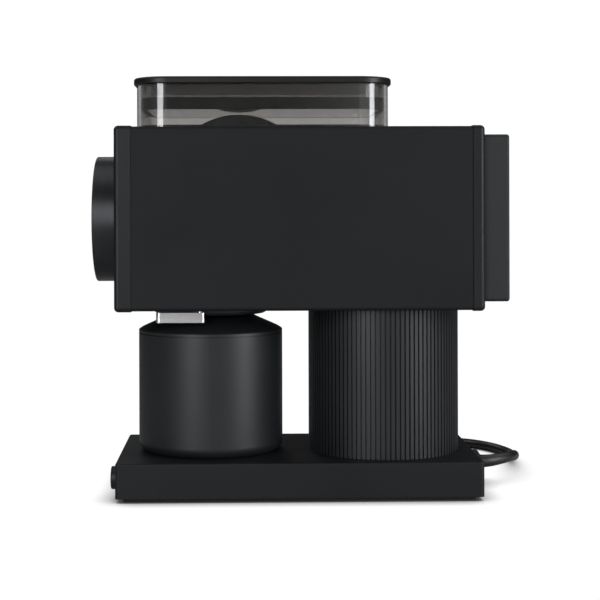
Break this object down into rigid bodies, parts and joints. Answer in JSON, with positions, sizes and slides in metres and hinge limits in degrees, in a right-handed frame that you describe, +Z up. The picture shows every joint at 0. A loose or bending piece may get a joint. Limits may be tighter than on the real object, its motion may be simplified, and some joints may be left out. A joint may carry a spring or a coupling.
{
  "type": "electric burr coffee grinder",
  "caption": "Electric burr coffee grinder: long square body on a ribbed column, front dial, smoke-tinted bean hopper, lidded cup on a flat base, and a mains cord.",
  "frame": {"origin": "centre of the bottom of the grinder's box, without its cord: on the table, under the middle of the body", "axes": "+Z up; -Y towards the front, where the dial is; +X towards the side that the start button is nearer to"},
  "size_m": [0.1953, 0.2656, 0.2415],
  "materials": {
    "black_metal": "fine matte black anodised aluminium",
    "satin_steel": "satin black enamelled steel",
    "black_plastic": "fine spark-eroded matte black",
    "smoke_plastic": "clear, smoke tinted, polished",
    "stainless": "brushed stainless sheet",
    "plain_steel": "turned and ground steel",
    "cast_aluminium": "die-cast, machined faces",
    "magnet": "sintered ferrite",
    "foot_rubber": "matte moulded rubber",
    "silicone": "smooth black silicone",
    "cord_rubber": "satin black PVC jacket",
    "plug_plastic": "moulded black PVC",
    "plug_metal": "nickel-plated brass pins",
    "board": "green solder mask",
    "components": "moulded grey",
    "copper": "enamelled copper wire"
  },
  "bodies": {
    "housing": {"base_shell": "black_metal", "bottom_plate": "plain_steel", "foot_pad": "foot_rubber", "base_screws": "plain_steel", "dock_magnet": "magnet", "button_guide": "black_plastic", "button_spring": "stainless", "micro_switch": "black_plastic", "cable_gland": "black_plastic", "cord_run": "cord_rubber", "cord_tail": "cord_rubber", "cord_coil": "cord_rubber", "plug_body": "plug_plastic", "plug_pins": "plug_metal", "column_shell": "black_metal", "column_screws": "plain_steel", "control_board": "board", "board_components": "components", "inner_wiring": "copper", "body_shell": "black_metal", "front_bezel": "black_metal", "rear_bezel": "black_metal", "rear_cover": "black_plastic", "chassis_plate": "plain_steel", "front_screws": "plain_steel", "rear_screws": "plain_steel", "grind_chamber": "cast_aluminium", "chute": "black_plastic", "chute_ring": "black_plastic", "knocker_pin": "stainless", "knocker_spring": "stainless", "motor_can": "plain_steel", "motor_end_bell": "cast_aluminium", "stator_core": "plain_steel", "stator_windings": "copper", "shaft_bearings": "plain_steel", "motor_screws": "plain_steel", "key_pins": "plain_steel", "hopper_bin": "smoke_plastic", "bean_guide": "black_plastic"},
    "dial": {"dial_knob": "satin_steel", "dial_hub": "cast_aluminium"},
    "burr_carrier": {"fixed_burr_carrier": "cast_aluminium", "fixed_burr": "plain_steel", "fixed_burr_screws": "plain_steel"},
    "drive": {"drive_shaft": "plain_steel", "rotor_core": "plain_steel", "cooling_fan": "components", "auger": "plain_steel", "burr_spider": "cast_aluminium", "rotating_burr": "plain_steel", "rotating_burr_screws": "plain_steel", "shaft_nut": "plain_steel"},
    "button": {"start_button": "black_plastic"},
    "knocker": {"knocker_lever": "stainless"},
    "lid": {"hopper_lid": "black_plastic", "lid_skirt": "smoke_plastic", "lid_seal": "silicone"},
    "cup": {"catch_cup": "black_metal", "cup_lid": "black_plastic"}
  },
  "joints": [
    {"name": "dial_turn", "type": "hinge", "parent": "housing", "child": "dial", "pos_m": [0, -0.11, 0.16], "axis": [0, -1, 0], "range_deg": [0, 300]},
    {"name": "burr_gap", "type": "slide", "parent": "housing", "child": "burr_carrier", "axis": [0, -1, 0], "range_m": [0, 0.0013]},
    {"name": "drive_spin", "type": "hinge", "parent": "housing", "child": "drive", "pos_m": [0, 0, 0.16], "axis": [0, 1, 0], "continuous": true},
    {"name": "button_press", "type": "slide", "parent": "housing", "child": "button", "axis": [0, 1, 0], "range_m": [0, 0.0015], "stiffness_N_per_m": 400, "springref_m": -0.003},
    {"name": "knocker_swing", "type": "hinge", "parent": "housing", "child": "knocker", "pos_m": [0.0369, -0.0571, 0.1035], "axis": [0, 0, 1], "range_deg": [0, 20], "stiffness_Nm_per_rad": 0.05, "springref_deg": -17.19},
    {"name": "lid_lift", "type": "slide", "parent": "housing", "child": "lid", "axis": [0, 0, 1], "range_m": [0, 0.06]},
    {"name": "cup_draw", "type": "slide", "parent": "housing", "child": "cup", "axis": [0, -1, 0], "range_m": [0, 0.16]}
  ],
  "couplings": [
    {"joint": "burr_gap", "follows": "dial_turn", "m_per_rad": 0.00023873}
  ]
}
